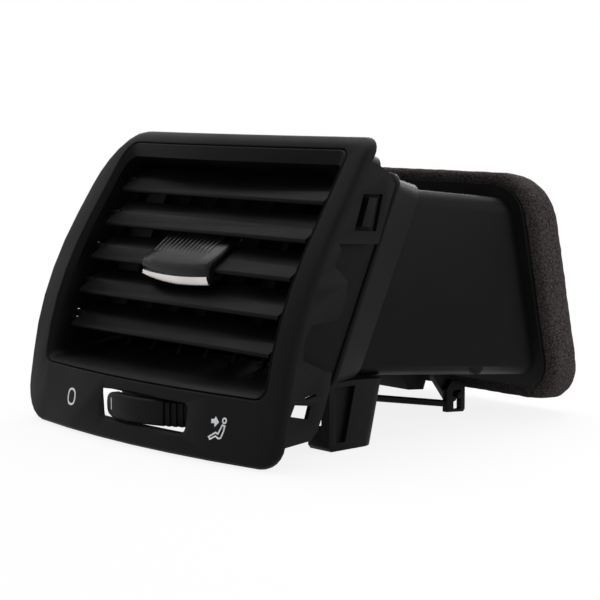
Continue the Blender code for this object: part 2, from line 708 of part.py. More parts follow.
def make_knob_trim():
    return smooth(loft("knob_trim", trim_rings(-0.15), FINISH["chrome"], ring_closed=False))


# Vertical vanes

def vane_point(back, up):
    """(depth, height) from the foot of the vanes' axes: back across them, and up along them."""
    rake = math.radians(VANE_RAKE)
    return (VANE_AXIS_DEPTH + back * math.cos(rake) + up * math.sin(rake),
            VANE_AXIS_HEIGHT - back * math.sin(rake) + up * math.cos(rake))


VANE_LOW = 5.5                  # ends of a vane's blade, up from VANE_AXIS_HEIGHT
VANE_HIGH = BEZEL_HEIGHT - 43.5
TONGUE_LOW = 28.4
TONGUE_HIGH = 50.4
TONGUE_REACH = 11.6


def vane_place(number):
    return VANE_PITCH * (number - (VANE_COUNT - 1) / 2.0)


def make_vane(number):
    """One upright vane with pins at both ends; the middle one has a tongue for the knob's fork."""
    name = f"vane_{number + 1}"
    x = vane_place(number)
    half = VANE_THICK / 2.0
    outline = [(-VANE_FRONT, VANE_LOW), (VANE_BACK, VANE_LOW), (VANE_BACK, VANE_HIGH),
               (-VANE_FRONT, VANE_HIGH)]
    if number == VANE_COUNT // 2:
        outline += [(-VANE_FRONT, TONGUE_HIGH + 2.0), (-TONGUE_REACH, TONGUE_HIGH),
                    (-TONGUE_REACH, TONGUE_LOW), (-VANE_FRONT, TONGUE_LOW - 3.0)]
    made = side_prism(name, [vane_point(*point) for point in outline], x - half, x + half,
                      FINISH["vane"])
    pins = [
        cylinder(f"{name}_lower_pin", (x, *vane_point(0.0, VANE_LOW + 3.0)),
                 (x, *vane_point(0.0, -1.7)), VANE_PIN_RADIUS, group=CUTTERS, sides=12),
        cylinder(f"{name}_upper_pin", (x, *vane_point(0.0, VANE_HIGH - 3.0)),
                 (x, *vane_point(0.0, VANE_HIGH + 4.2)), VANE_PIN_RADIUS, group=CUTTERS, sides=12),
        cylinder(f"{name}_link_pin", (x, *vane_point(VANE_LINK_BACK, VANE_HIGH - 3.0)),
                 (x, *vane_point(VANE_LINK_BACK, VANE_HIGH + 2.0)), LINK_PIN_RADIUS,
                 group=CUTTERS, sides=12),
    ]
    return join_to(made, pins)


def make_vane_link():
    """Bar over the vanes that makes them turn together."""
    low = VANE_HIGH + FIT
    high = low + 1.4
    front = VANE_LINK_BACK - 2.1
    back = VANE_LINK_BACK + 2.1
    outline = [vane_point(*point) for point in ((front, low), (back, low), (back, high),
                                                (front, high))]
    reach = vane_place(VANE_COUNT - 1) + 3.0
    made = side_prism("vane_link", outline, -reach, reach, FINISH["frame"])
    holes = [cylinder(f"vane_link_hole_cut_{n + 1}",
                      (vane_place(n), *vane_point(VANE_LINK_BACK, low - 2.0)),
                      (vane_place(n), *vane_point(VANE_LINK_BACK, high + 2.0)),
                      LINK_PIN_RADIUS + FIT, group=CUTTERS, sides=12)
             for n in range(VANE_COUNT)]
    return cut_from(made, holes)


# Housing with its feet

def housing_rings(inset):
    """Stations of the housing's skin from front to rear, inset for the inside."""
    stations = (
        (HOUSING_HALF_WIDTH, HOUSING_FRONT_LOW, HOUSING_FRONT_HIGH, HOUSING_FRONT_CORNERS),
        (HOUSING_HALF_WIDTH, HOUSING_BEAD_LOW, HOUSING_BEAD_HIGH, HOUSING_CORNERS),
        (DUCT_HALF_WIDTH + FIT + HOUSING_WALL, HOUSING_REAR_LOW, HOUSING_REAR_HIGH,
         (DUCT_CORNER,) * 4),
    )
    rings = []
    for half, low, high, corners in stations:
        low, high = grown(low, high, -inset)
        rings.append(raked_ring(half - inset, low, high, [c - inset * 0.5 for c in corners]))
    return rings


def make_housing():
    """Moulded box behind the bezel, with a bead, clip hooks, the wheel's post and two feet."""
    outside = housing_rings(0.0)
    inside = housing_rings(HOUSING_WALL)
    made = loft("housing", outside + inside[::-1], FINISH["housing"])
    features = [housing_bead(), *clip_hooks(), *feet(), wheel_post()]
    join_to(made, features)
    screw_hole = cylinder("screw_hole_cut", (0.0, WHEEL_DEPTH, 0.0),
                          (0.0, WHEEL_DEPTH, WHEEL_HEIGHT + 6.0), 1.0 + FIT, group=CUTTERS, sides=12)
    cut_from(made, [screw_hole])
    return smooth(made)


def housing_bead():
    """Raised bead that the rear edge of the bezel's tabs comes up to."""
    rake = Vector((HOUSING_BEAD_HIGH[0] - HOUSING_BEAD_LOW[0],
                   HOUSING_BEAD_HIGH[1] - HOUSING_BEAD_LOW[1])).normalized()
    across = Vector((rake.y, -rake.x)) * BEAD_WIDTH / 2.0

    def ring(grow, shift):
        low, high = grown(HOUSING_BEAD_LOW, HOUSING_BEAD_HIGH, grow)
        low = (low[0] + across.x * shift, low[1] + across.y * shift)
        high = (high[0] + across.x * shift, high[1] + across.y * shift)
        corners = [corner + grow for corner in HOUSING_CORNERS]
        return raked_ring(HOUSING_HALF_WIDTH + grow, low, high, corners)

    sunk = -HOUSING_WALL / 2.0
    rings = [ring(sunk, -1.0), ring(BEAD_HEIGHT * 0.6, -1.0), ring(BEAD_HEIGHT, -0.4),
             ring(BEAD_HEIGHT, 0.4), ring(BEAD_HEIGHT * 0.6, 1.0), ring(sunk, 1.0)]
    return loft("housing_bead", rings, group=CUTTERS)


def clip_hooks():
    """Wedges in the bezel's clip windows."""
    reach = BEZEL_WIDTH / 2.0 - SKIRT_STEP - 0.6
    inner = HOUSING_HALF_WIDTH - HOUSING_WALL / 2.0
    outline = ((60.4, 97.0), (64.6, 96.8), (61.2, 85.8), (56.4, 86.2))
    return [side_prism("clip_hook_right", outline, inner, reach, group=CUTTERS),
            side_prism("clip_hook_left", outline, -reach, -inner, group=CUTTERS)]


FOOT_OUTLINE = ((48.8, 26.4), (48.8, 1.5), (50.0, 0.0), (73.0, 0.0), (74.6, 1.3), (77.5, 13.7),
                (80.2, 25.5), (61.0, 26.6))
FOOT_FRONT_POCKET = ((51.6, 24.5), (62.4, 24.5), (57.2, 3.0), (52.6, 3.0))
FOOT_INNER_RECESS = ((47.0, 8.0), (57.0, 8.0), (57.0, 24.0), (47.0, 24.0))
FOOT_REAR = ((73.6, -1.0), (80.4, 26.8))     # rear edge, for the rounded corner


def foot_rounding(name, sign):
    """What a foot's rounded rear corner leaves out."""
    radius = FOOT_ROUND
    edges = sorted((sign * (FOOT_OUTER - radius), sign * (FOOT_OUTER + 1.0)))
    (low_depth, low), (high_depth, high) = FOOT_REAR
    outline = ((low_depth - radius, low), (low_depth + 4.0, low), (high_depth + 4.0, high),
               (high_depth - radius, high))
    corner = side_prism(name, outline, *edges, group=CUTTERS)
    x = sign * (FOOT_OUTER - radius)
    foot, head = (low_depth - radius, low), (high_depth - radius, high)
    column = cylinder(f"{name}_column", (x, *mix(foot, head, -0.1)), (x, *mix(foot, head, 1.1)),
                      radius, group=CUTTERS, sides=32)
    return cut_from(corner, [column])


def feet():
    """Bracket under each side: a tapering pocket, a recess behind it and a rounded rear leg."""
    made = []
    for side, sign in (("right", 1.0), ("left", -1.0)):
        edges = sorted((sign * FOOT_OUTER, sign * (FOOT_OUTER - FOOT_WIDTH)))
        foot = side_prism(f"foot_{side}", FOOT_OUTLINE, *edges, group=CUTTERS)
        pocket = sorted((sign * (FOOT_OUTER - FOOT_RECESS), sign * (FOOT_OUTER + 4.0)))
        recess = sorted((sign * (FOOT_OUTER - FOOT_WIDTH - 1.0),
                         sign * (FOOT_OUTER - FOOT_RECESS - FOOT_WEB)))
        cut_from(foot, [
            side_prism(f"foot_pocket_{side}", FOOT_FRONT_POCKET, *pocket, group=CUTTERS),
            side_prism(f"foot_recess_{side}", FOOT_INNER_RECESS, *recess, group=CUTTERS),
            foot_rounding(f"foot_corner_{side}", sign),
        ])
        made.append(foot)
    return made


def wheel_post():
    """Post under the housing that the thumbwheel turns on."""
    top = HOUSING_BEAD_LOW[1] + 0.8
    spigot_end = WHEEL_HEIGHT - 2.6
    shoulder = WHEEL_HEIGHT + WHEEL_ARM_THICK / 2.0 + FIT
    post = cylinder("wheel_post", (0.0, WHEEL_DEPTH, shoulder), (0.0, WHEEL_DEPTH, top), 4.4,
                    group=CUTTERS)
    spigot = cylinder("wheel_spigot", (0.0, WHEEL_DEPTH, spigot_end), (0.0, WHEEL_DEPTH, top - 1.0),
                      2.6, group=CUTTERS)
    return join_to(post, [spigot])


# Duct and its seal

def duct_top(depth):
    return DUCT_FRONT_HIGH[1] - DUCT_DROP_TOP * (depth - DUCT_FRONT_HIGH[0])


def duct_floor(depth):
    return DUCT_FRONT_LOW[1] - DUCT_DROP_FLOOR * (depth - DUCT_FRONT_LOW[0])


def seal_plane(behind):
    """Low and high (depth, height) where a plane across the duct's end meets its skin.

    Depth 0 of that plane is the front of the flange, and the seal's back ends at VENT_DEPTH."""
    back_low = VENT_DEPTH - SEAL_SHORT
    front = back_low - SEAL_DEPTH - FLANGE_THICK + behind
    base = 15.0
    # Each height follows from the plane's lean and the slope of the duct's floor or top.
    low = (duct_floor(front) - DUCT_DROP_FLOOR * SEAL_LEAN * base) / (1.0 - DUCT_DROP_FLOOR * SEAL_LEAN)
    high = (duct_top(front) - DUCT_DROP_TOP * SEAL_LEAN * base) / (1.0 - DUCT_DROP_TOP * SEAL_LEAN)
    return ((front - SEAL_LEAN * (low - base), low), (front - SEAL_LEAN * (high - base), high))


def duct_ring(low, high, grow, corner):
    low, high = grown(low, high, grow)
    return raked_ring(DUCT_HALF_WIDTH + grow, low, high, (corner,) * 4)


def make_duct():
    """Duct that drops to the back, with a flange for the seal and a spigot inside it."""
    end = SPIGOT_LENGTH + FLANGE_THICK
    wall = -DUCT_WALL
    inner = DUCT_CORNER - DUCT_WALL
    front = (DUCT_FRONT_LOW, DUCT_FRONT_HIGH)
    flange_corner = DUCT_CORNER + FLANGE_PROUD
    rings = [
        duct_ring(*front, 0.0, DUCT_CORNER),
        duct_ring(*seal_plane(0.0), 0.0, DUCT_CORNER),
        duct_ring(*seal_plane(0.0), FLANGE_PROUD, flange_corner),
        duct_ring(*seal_plane(FLANGE_THICK), FLANGE_PROUD, flange_corner),
        duct_ring(*seal_plane(FLANGE_THICK), 0.0, DUCT_CORNER),
        duct_ring(*seal_plane(end), 0.0, DUCT_CORNER),
        duct_ring(*seal_plane(end), wall, inner),
        duct_ring(*front, wall, inner),
    ]
    made = loft("duct", rings, FINISH["duct"])
    features = [shaft_boss(1.0), shaft_boss(-1.0), floor_channel()]
    join_to(made, features)
    crank_slot = block("crank_slot_cut", (CRANK_PLACE - 3.0, FLAP_DEPTH - 12.0, 8.0),
                       (CRANK_PLACE + 3.0, FLAP_DEPTH + 10.0, FLAP_HEIGHT), group=CUTTERS)
    bearings = cylinder("bearing_cut", (-BEARING_REACH, FLAP_DEPTH, FLAP_HEIGHT),
                        (BEARING_REACH, FLAP_DEPTH, FLAP_HEIGHT), 1.8 + FIT, group=CUTTERS, sides=16)
    cut_from(made, [crank_slot, bearings])
    return smooth(made)


BEARING_REACH = DUCT_HALF_WIDTH - DUCT_WALL
FLAP_HALF_WIDTH = DUCT_HALF_WIDTH - DUCT_WALL - 3.8


def shaft_boss(sign):
    """Boss on a side wall that carries the flap's shaft."""
    ends = (sign * (FLAP_HALF_WIDTH + FIT), sign * (DUCT_HALF_WIDTH - DUCT_WALL / 2.0))
    name = "shaft_boss_right" if sign > 0 else "shaft_boss_left"
    return cylinder(name, (ends[0], FLAP_DEPTH, FLAP_HEIGHT), (ends[1], FLAP_DEPTH, FLAP_HEIGHT),
                    4.0, group=CUTTERS)


CHANNEL_OUTLINE = ((118.0, 24.0), (124.5, 11.8), (133.5, 11.0), (137.0, 21.5))


def floor_channel():
    """Stiffening channel across the duct's floor, beside the crank."""
    outline = list(CHANNEL_OUTLINE)
    outline[0] = (outline[0][0], duct_floor(outline[0][0]) - 0.3)
    outline[-1] = (outline[-1][0], duct_floor(outline[-1][0]) - 0.3)
    lifted = [outline[0], outline[1], outline[2], outline[3],
              (outline[3][0], outline[3][1] + 1.0), (outline[0][0], outline[0][1] + 1.0)]
    return side_prism("floor_channel", lifted, -46.0, CRANK_PLACE - 5.0, group=CUTTERS)


def make_seal():
    """Foam strip round the duct's end, behind the flange."""
    start = FLANGE_THICK + FIT
    end = FLANGE_THICK + SEAL_DEPTH
    proud = FLANGE_PROUD + SEAL_PROUD
    corner = SEAL_CORNER
    inner = DUCT_CORNER + FIT
    rings = [
        duct_ring(*seal_plane(start), FIT, inner),
        duct_ring(*seal_plane(start), proud - 2.4, corner - 2.4),
        duct_ring(*seal_plane(start + 0.8), proud - 0.7, corner - 0.7),
        duct_ring(*seal_plane(start + 2.6), proud, corner),
        duct_ring(*seal_plane(end - SEAL_ROUND), proud, corner),
        duct_ring(*seal_plane(end - 0.3 * SEAL_ROUND), proud - 0.3 * SEAL_ROUND,
                  corner - 0.3 * SEAL_ROUND),
        duct_ring(*seal_plane(end), proud - SEAL_ROUND, corner - SEAL_ROUND),
        duct_ring(*seal_plane(end), FIT, inner),
    ]
    return smooth(loft("foam_seal", rings, FINISH["foam"]), 60.0)


# Shut-off drive

def make_flap():
    """Shut-off flap on a shaft across the duct, ribbed on its underside."""
    def at(along, above):
        rest = math.radians(FLAP_REST)
        return (FLAP_DEPTH - along * math.cos(rest) + above * math.sin(rest),
                FLAP_HEIGHT + along * math.sin(rest) + above * math.cos(rest))
    half = FLAP_HALF_WIDTH
    plate = [at(*point) for point in ((0.0, 0.8), (0.0, 0.8 + FLAP_THICK), (FLAP_LENGTH, 2.8),
                                      (FLAP_LENGTH, 0.8))]
    made = side_prism("flap", plate, -half, half, FINISH["duct"])
    shaft = cylinder("flap_shaft", (-half, FLAP_DEPTH, FLAP_HEIGHT), (half, FLAP_DEPTH, FLAP_HEIGHT),
                     SHAFT_RADIUS, group=CUTTERS, sides=16)
    journal = cylinder("flap_journals", (-BEARING_REACH + FIT, FLAP_DEPTH, FLAP_HEIGHT),
                       (BEARING_REACH - FIT, FLAP_DEPTH, FLAP_HEIGHT), 1.8, group=CUTTERS, sides=16)
    join_to(made, [shaft, journal])
    notch = block("crank_notch_cut", (CRANK_PLACE - CRANK_THICK / 2.0 - FIT, FLAP_DEPTH - 5.2,
                                      FLAP_HEIGHT + 0.3),
                  (CRANK_PLACE + CRANK_THICK / 2.0 + FIT, FLAP_DEPTH + 5.0, FLAP_HEIGHT + 6.0),
                  group=CUTTERS)
    return cut_from(made, [notch])


def make_flap_seal():
    """Thin foam sheet on the flap's upper face, a little larger than the plate."""
    def at(along, above):
        rest = math.radians(FLAP_REST)
        return (FLAP_DEPTH - along * math.cos(rest) + above * math.sin(rest),
                FLAP_HEIGHT + along * math.sin(rest) + above * math.cos(rest))
    low = 0.8 + FLAP_THICK + FIT
    outline = [at(*point) for point in ((6.0, low), (6.0, low + 1.5), (FLAP_LENGTH - 0.4, low + 1.5),
                                        (FLAP_LENGTH - 0.4, low))]
    half = FLAP_HALF_WIDTH + 2.2
    return side_prism("flap_seal", outline, -half, half, FINISH["foam"])


def crank_pin_point():
    angle = math.radians(CRANK_ANGLE)
    return (FLAP_DEPTH + CRANK_ARM * math.sin(angle), FLAP_HEIGHT - CRANK_ARM * math.cos(angle))


def make_crank():
    """Crank on the flap's shaft, hanging through the duct's floor, with a pin for the rod."""
    angle = math.radians(CRANK_ANGLE)

    def at(out, across):
        return (FLAP_DEPTH + out * math.sin(angle) + across * math.cos(angle),
                FLAP_HEIGHT - out * math.cos(angle) + across * math.sin(angle))
    half = CRANK_THICK / 2.0
    tip = [at(CRANK_ARM + 3.6 * math.cos(math.radians(a)), 3.6 * math.sin(math.radians(a)))
           for a in (80, 40, 0, -40, -80)]
    hub = [at(4.6 * math.cos(math.radians(a)), 4.6 * math.sin(math.radians(a)))
           for a in (-110, -145, 180, 145, 110)]
    made = side_prism("flap_crank", tip + hub, CRANK_PLACE - half, CRANK_PLACE + half,
                      FINISH["drive"])
    bore = cylinder("crank_bore_cut", (CRANK_PLACE - 5.0, FLAP_DEPTH, FLAP_HEIGHT),
                    (CRANK_PLACE + 5.0, FLAP_DEPTH, FLAP_HEIGHT), SHAFT_RADIUS + FIT,
                    group=CUTTERS, sides=16)
    cut_from(made, [bore])
    depth, height = crank_pin_point()
    pin = cylinder("crank_pin", (CRANK_PLACE - half + 0.5, depth, height),
                   (CRANK_PLACE + half + 4.2, depth, height), 1.4, group=CUTTERS, sides=14)
    return smooth(join_to(made, [pin]), 40.0)


def wheel_pin_point():
    angle = math.radians(WHEEL_PIN_ANGLE)
    return (WHEEL_PIN_ARM * math.cos(angle), WHEEL_DEPTH + WHEEL_PIN_ARM * math.sin(angle))


def make_rod():
    """Control rod: a flat eye on the wheel's pin, a round bar, and a slotted plate on the crank."""
    wheel_x, wheel_depth = wheel_pin_point()
    eye_low = WHEEL_HEIGHT + WHEEL_ARM_THICK / 2.0 + FIT
    eye_high = eye_low + 2.4
    pin_depth, pin_height = crank_pin_point()
    plate_left = CRANK_PLACE + CRANK_THICK / 2.0 + FIT
    plate_right = plate_left + 2.4
    lowest = FLAP_HEIGHT - CRANK_ARM
    bar_start = (wheel_x, wheel_depth + 3.0, eye_high - 1.0)
    bar_end = (plate_left + 1.2, pin_depth - 2.5, lowest + 0.6)
    made = cylinder("control_rod", bar_start, bar_end, ROD_RADIUS, FINISH["drive"], sides=10)
    eye = cylinder("rod_eye", (wheel_x, wheel_depth, eye_low), (wheel_x, wheel_depth, eye_high), 4.2,
                   group=CUTTERS)
    plate = side_prism("rod_plate",
                       ((pin_depth - 6.4, lowest - 2.4), (pin_depth + 3.8, lowest - 3.2),
                        (pin_depth + 4.8, lowest - 2.2), (pin_depth + 4.8, pin_height + 5.0),
                        (pin_depth + 2.8, pin_height + 6.4), (pin_depth - 3.6, pin_height + 6.4),
                        (pin_depth - 6.4, pin_height + 3.0)),
                       plate_left, plate_right, group=CUTTERS)
    join_to(made, [eye, plate])
    eye_hole = cylinder("rod_eye_cut", (wheel_x, wheel_depth, eye_low - 2.0),
                        (wheel_x, wheel_depth, eye_high + 2.0), 1.9 + FIT, group=CUTTERS, sides=16)
    slot = block("rod_slot_cut", (plate_left - 1.0, pin_depth - 1.4 - 0.8, lowest - 1.9),
                 (plate_right + 1.0, pin_depth + 1.4 + 0.8, pin_height + 2.2), group=CUTTERS)
    cut_from(made, [eye_hole, slot])
    return smooth(made, 40.0)


def wheel_profile(angle):
    """Rim radius at an angle: smooth at the left, ribbed for the finger, then plain."""
    step = (angle + 90.0 - WHEEL_RIB_FROM) / WHEEL_RIB_STEP
    if 0.0 < step < WHEEL_RIB_COUNT:
        return WHEEL_RADIUS - WHEEL_RIB_RELIEF * (math.floor(step) % 2)
    return WHEEL_RADIUS


def wheel_rim_half(angle):
    """Half the rim's height at an angle; its left end is rounded."""
    half = WHEEL_RIM_HEIGHT / 2.0
    short = 1.0 - min((angle - WHEEL_RIM_FROM) / WHEEL_END_ROUND, 1.0)
    return half - 0.72 * half * (1.0 - math.sqrt(1.0 - short ** 2))


def make_wheel():
    """Thumbwheel: a rim sector on two arms, with the pin that drives the rod."""
    edge = 0.7
    rings = []
    ribs_from = WHEEL_RIB_FROM - 90.0
    ribs_to = ribs_from + WHEEL_RIB_STEP * WHEEL_RIB_COUNT
    angles = [WHEEL_RIM_FROM + WHEEL_END_ROUND * share for share in (0.0, 0.12, 0.4, 1.0)]
    angles += [mix((angles[-1], 0.0), (ribs_from, 0.0), i / 6.0)[0] for i in range(1, 6)]
    angles += [ribs_from + WHEEL_RIB_STEP * i + nudge for i in range(WHEEL_RIB_COUNT)
               for nudge in (0.04, WHEEL_RIB_STEP - 0.04)]
    angles += [mix((ribs_to, 0.0), (WHEEL_RIM_TO, 0.0), i / 6.0)[0] for i in range(1, 7)]
    for angle in angles:
        turn = math.radians(angle)
        outer = wheel_profile(angle)
        tall = wheel_rim_half(angle)
        inner = WHEEL_RADIUS - WHEEL_RIM_THICK
        section = ((inner, -tall), (outer - edge, -tall), (outer, -tall + edge),
                   (outer, tall - edge), (outer - edge, tall), (inner, tall))
        rings.append([place(radius * math.cos(turn), WHEEL_DEPTH + radius * math.sin(turn),
                            WHEEL_HEIGHT + up) for radius, up in section])
    made = loft("thumbwheel", rings, FINISH["drive"], ring_closed=False)
    flat = WHEEL_ARM_THICK / 2.0
    features = [cylinder("wheel_hub", (0.0, WHEEL_DEPTH, WHEEL_HEIGHT - flat),
                         (0.0, WHEEL_DEPTH, WHEEL_HEIGHT + flat), WHEEL_HUB_RADIUS, group=CUTTERS)]
    reach = WHEEL_RADIUS - WHEEL_RIM_THICK / 2.0
    for number, angle in enumerate((WHEEL_RIM_FROM + 4.0, -60.0, WHEEL_RIM_TO - 4.0)):
        features.append(wheel_arm(f"wheel_arm_{number + 1}", angle, reach))
    pin_x, pin_depth = wheel_pin_point()
    features.append(wheel_arm("wheel_pin_arm", WHEEL_PIN_ANGLE, WHEEL_PIN_ARM + 2.4))
    features.append(cylinder("wheel_pin", (pin_x, pin_depth, WHEEL_HEIGHT - flat),
                             (pin_x, pin_depth, WHEEL_HEIGHT + flat + FIT + 4.0), 1.9,
                             group=CUTTERS, sides=16))
    join_to(made, features)
    bore = cylinder("wheel_bore_cut", (0.0, WHEEL_DEPTH, 0.0), (0.0, WHEEL_DEPTH, 20.0), 2.6 + FIT,
                    group=CUTTERS)
    cut_from(made, [bore])
    return smooth(made, 40.0)


def wheel_arm(name, angle, reach):
    """Flat arm from the hub out to a radius."""
    flat = WHEEL_ARM_THICK / 2.0

    def build(work):
        bmesh.ops.create_cube(work, size=1.0)
        bmesh.ops.scale(work, vec=Vector((reach - 3.0, 5.0, 2.0 * flat)) * MM, verts=work.verts)
        bmesh.ops.translate(work, vec=Vector(((reach + 3.0) / 2.0, 0.0, 0.0)) * MM, verts=work.verts)
        bmesh.ops.rotate(work, matrix=Matrix.Rotation(math.radians(angle), 3, "Z"),
                         verts=work.verts)
        bmesh.ops.translate(work, vec=place(0.0, WHEEL_DEPTH, WHEEL_HEIGHT), verts=work.verts)
    return add_object(name, mesh_from(build, name), group=CUTTERS)


def make_screw():
    """Screw that keeps the thumbwheel on its post."""
    head_top = WHEEL_HEIGHT - 2.6 - FIT
    made = cylinder("wheel_screw", (0.0, WHEEL_DEPTH, head_top - 2.0), (0.0, WHEEL_DEPTH, head_top),
                    4.2, FINISH["steel"])
    shank = cylinder("screw_shank", (0.0, WHEEL_DEPTH, head_top - 1.0),
                     (0.0, WHEEL_DEPTH, WHEEL_HEIGHT + 4.6), 1.0, group=CUTTERS, sides=12)
    join_to(made, [shank])
    return smooth(made, 40.0)


for old in list(bpy.data.objects):
    bpy.data.objects.remove(old)

PARTS = collection("dashboard_air_vent")
CUTTERS = collection("cutters")

FINISH = {
    "trim": material("bezel_plastic", (0.012, 0.012, 0.013), 0.55),
    "frame": material("frame_plastic", (0.011, 0.011, 0.012), 0.5),
    "slat": material("slat_plastic", (0.012, 0.012, 0.013), 0.45),
    "vane": material("vane_plastic", (0.009, 0.009, 0.010), 0.5),
    "knob": material("knob_plastic", (0.03, 0.03, 0.031), 0.4),
    "chrome": material("knob_chrome", (0.75, 0.76, 0.78), 0.12, 1.0),
    "housing": material("housing_plastic", (0.013, 0.013, 0.014), 0.5),
    "duct": material("duct_plastic", (0.012, 0.012, 0.013), 0.5),
    "drive": material("drive_plastic", (0.012, 0.012, 0.013), 0.45),
    "steel": material("screw_steel", (0.5, 0.5, 0.5), 0.35, 1.0),
    "foam": material("seal_foam", (0.06, 0.052, 0.05), 0.95),
}

make_bezel()
make_inner_frame()
slats = [make_slat(number) for number in range(SLAT_COUNT)]
slat_link = make_slat_link()
knob = make_knob()
knob_trim = make_knob_trim()
vanes = [make_vane(number) for number in range(VANE_COUNT)]
vane_link = make_vane_link()
make_housing()
make_duct()
make_seal()
flap = make_flap()
flap_seal = make_flap_seal()
crank = make_crank()
rod = make_rod()
wheel = make_wheel()
make_screw()

for number, slat in enumerate(slats):
    carried = [slat]
    if number == KNOB_SLAT:
        carried += [knob, knob_trim]
    pivot(f"slat_{number + 1}_axis", place(0.0, *slat_axis(number)), carried)
pivot("slat_link_axis", place(SLAT_LEFT, *link_pin(KNOB_SLAT)), [slat_link])
for number, vane in enumerate(vanes):
    pivot(f"vane_{number + 1}_axis", place(vane_place(number), *vane_point(0.0, 0.0)), [vane])
pivot("vane_link_axis", place(vane_place(0), *vane_point(VANE_LINK_BACK, VANE_HIGH)), [vane_link])
pivot("flap_axis", place(0.0, FLAP_DEPTH, FLAP_HEIGHT), [flap, flap_seal, crank])
pivot("wheel_axis", place(0.0, WHEEL_DEPTH, WHEEL_HEIGHT), [wheel])
rod_x, rod_depth = wheel_pin_point()
pivot("rod_axis", place(rod_x, rod_depth, WHEEL_HEIGHT), [rod])
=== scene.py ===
"""Looks for the dashboard air vent: finishes, foam seals, the knob's details, marks, light and camera."""
import json
import math

import bmesh
import bpy
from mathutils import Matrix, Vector, noise
from mathutils.bvhtree import BVHTree


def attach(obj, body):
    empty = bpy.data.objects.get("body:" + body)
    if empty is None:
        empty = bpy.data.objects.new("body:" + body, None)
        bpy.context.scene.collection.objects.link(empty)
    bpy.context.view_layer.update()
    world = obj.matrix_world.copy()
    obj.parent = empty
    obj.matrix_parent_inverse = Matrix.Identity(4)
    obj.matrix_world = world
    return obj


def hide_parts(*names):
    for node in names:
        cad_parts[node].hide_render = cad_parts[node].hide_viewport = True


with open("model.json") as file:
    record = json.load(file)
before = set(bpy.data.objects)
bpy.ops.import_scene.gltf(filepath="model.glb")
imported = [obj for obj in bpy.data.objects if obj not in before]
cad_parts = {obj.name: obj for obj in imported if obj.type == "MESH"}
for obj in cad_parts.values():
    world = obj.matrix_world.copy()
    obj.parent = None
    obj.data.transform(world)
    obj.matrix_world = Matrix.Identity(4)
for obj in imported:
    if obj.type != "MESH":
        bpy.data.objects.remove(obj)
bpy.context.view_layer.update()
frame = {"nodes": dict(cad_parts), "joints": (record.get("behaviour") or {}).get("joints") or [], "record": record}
NODES = frame["nodes"]

MM = 0.001
FRONT_Y = -0.0939           # front plane of the face

# Finishes: tones in sRGB levels, noise scales per metre, grain heights in metres
TONE_SPREAD = 2
GLOSS_SPREAD = 0.05
NOISE_LOW = 0.35
NOISE_HIGH = 0.65
PATCH_SCALE = 38.0
PATCH_DETAIL = 5.0
GRAIN_DETAIL = 2.0
METAL_SPECULAR = 0.5
METAL_DETAIL = 3.0
METAL_GRAIN_SCALE = 900.0
METAL_GRAIN_DETAIL = 1.0
METAL_GRAIN_HEIGHT = 0.000003
FOAM_SPECULAR = 0.05
FOAM_ROUGH = 0.95
# Dark spots of painted shade in the foam's pores
FOAM_PORE_SHADE_SCALE = 1300.0
FOAM_PORE_SHADE_DETAIL = 8.0
FOAM_PORE_SHADE_LOW = 0.34
FOAM_PORE_SHADE_HIGH = 0.66
FOAM_GRAIN_SCALE = 1100.0
FOAM_GRAIN_DETAIL = 6.0
FOAM_GRAIN_HEIGHT = 0.0005
INK_SPECULAR = 0.1
INK_SMOOTH = 0.5
INK_ROUGH = 0.6
INK_WEAR_SCALE = 600.0
INK_WEAR_DETAIL = 3.0

# Edges of the moulded pieces, in metres
WELD_DISTANCE = 0.000005
EDGE_ROUND = 0.00022
EDGE_SEGMENTS = 2
SHARP_ANGLE = math.radians(38.0)
SMOOTH_ANGLE = math.radians(33.0)

# Foam seals: sizes in metres, noise scales per metre
SOFT_NODES = ("foam_seal", "flap_seal")
COLLAR_VOXEL = 0.0013
COLLAR_SWELL = 0.00025
FLAP_SEAL_VOXEL = 0.0007
FLAP_SEAL_SWELL = 0.00012
RELAX_FACTOR = 0.5
RELAX_PASSES = 12
SWELL_SCALE = 260.0
PIT_SCALE = 820.0
PIT_SHARE = 0.5
PIT_SHIFT = Vector((7.0, 3.0, 1.0))

# The knob on the centre slat, in mm: across, behind the slat's front edge and above its middle plane
SLAT_TILT = math.radians(34.0)      # front edge down
SLAT_FRONT = 8.0            # from the slat's pins to its front edge
KNOB_FRONT = 3.2            # from the slat's front edge to the knob's nose at its ends
KNOB_BOW = 1.6              # how far the nose stands out in its middle
KNOB_TOP = 3.9              # its upper face, where that is flat
KNOB_NOSE_TO = 7.0          # the face rises from here to the front
KNOB_NOSE_RISE = 0.5
KNOB_FALL_FROM = 14.2       # and falls from here to the ribs' rear ends
KNOB_FALL = 0.4

# Grip ribs on the knob's upper face, in mm
RIB_COUNT = 13
RIB_PITCH = 2.7
RIB_FIRST = -19.5
RIB_FROM = 5.0
RIB_TO = 18.0
RIB_SUNK = 0.4
RIB_HEIGHT = 0.8
RIB_RISE_POWER = 0.7
RIB_HALF_WIDTH = 0.55
RIB_CREST = 0.25            # half width of its flat crest, as a share of the rib's
RIB_SHOULDER = 0.6          # the same for the shoulder under it
RIB_SHOULDER_DROP = 0.12
RIB_STEPS = 8

# Bright strip on the knob's nose, in mm. Its section has points behind the nose and above the blade,
# then points behind the nose and above the strip's lower edge.
STRIP_MIDDLE = -0.5
STRIP_HALF_LENGTH = 20.3
STRIP_HEIGHT = 3.4
STRIP_LEFT_SHARE = 0.3      # share of the height at the left end
STRIP_GROWS_OVER = 1.1      # in half lengths
STRIP_GROWTH_POWER = 0.6
STRIP_UPPER = ((1.0, 0.3), (-0.2, 0.3), (-0.5, 0.1), (-0.72, -0.4))
STRIP_LOWER = ((-1.2, 0.7), (-1.2, 0.35), (-0.95, 0.05), (1.0, 0.0))
STRIP_STEPS = 24
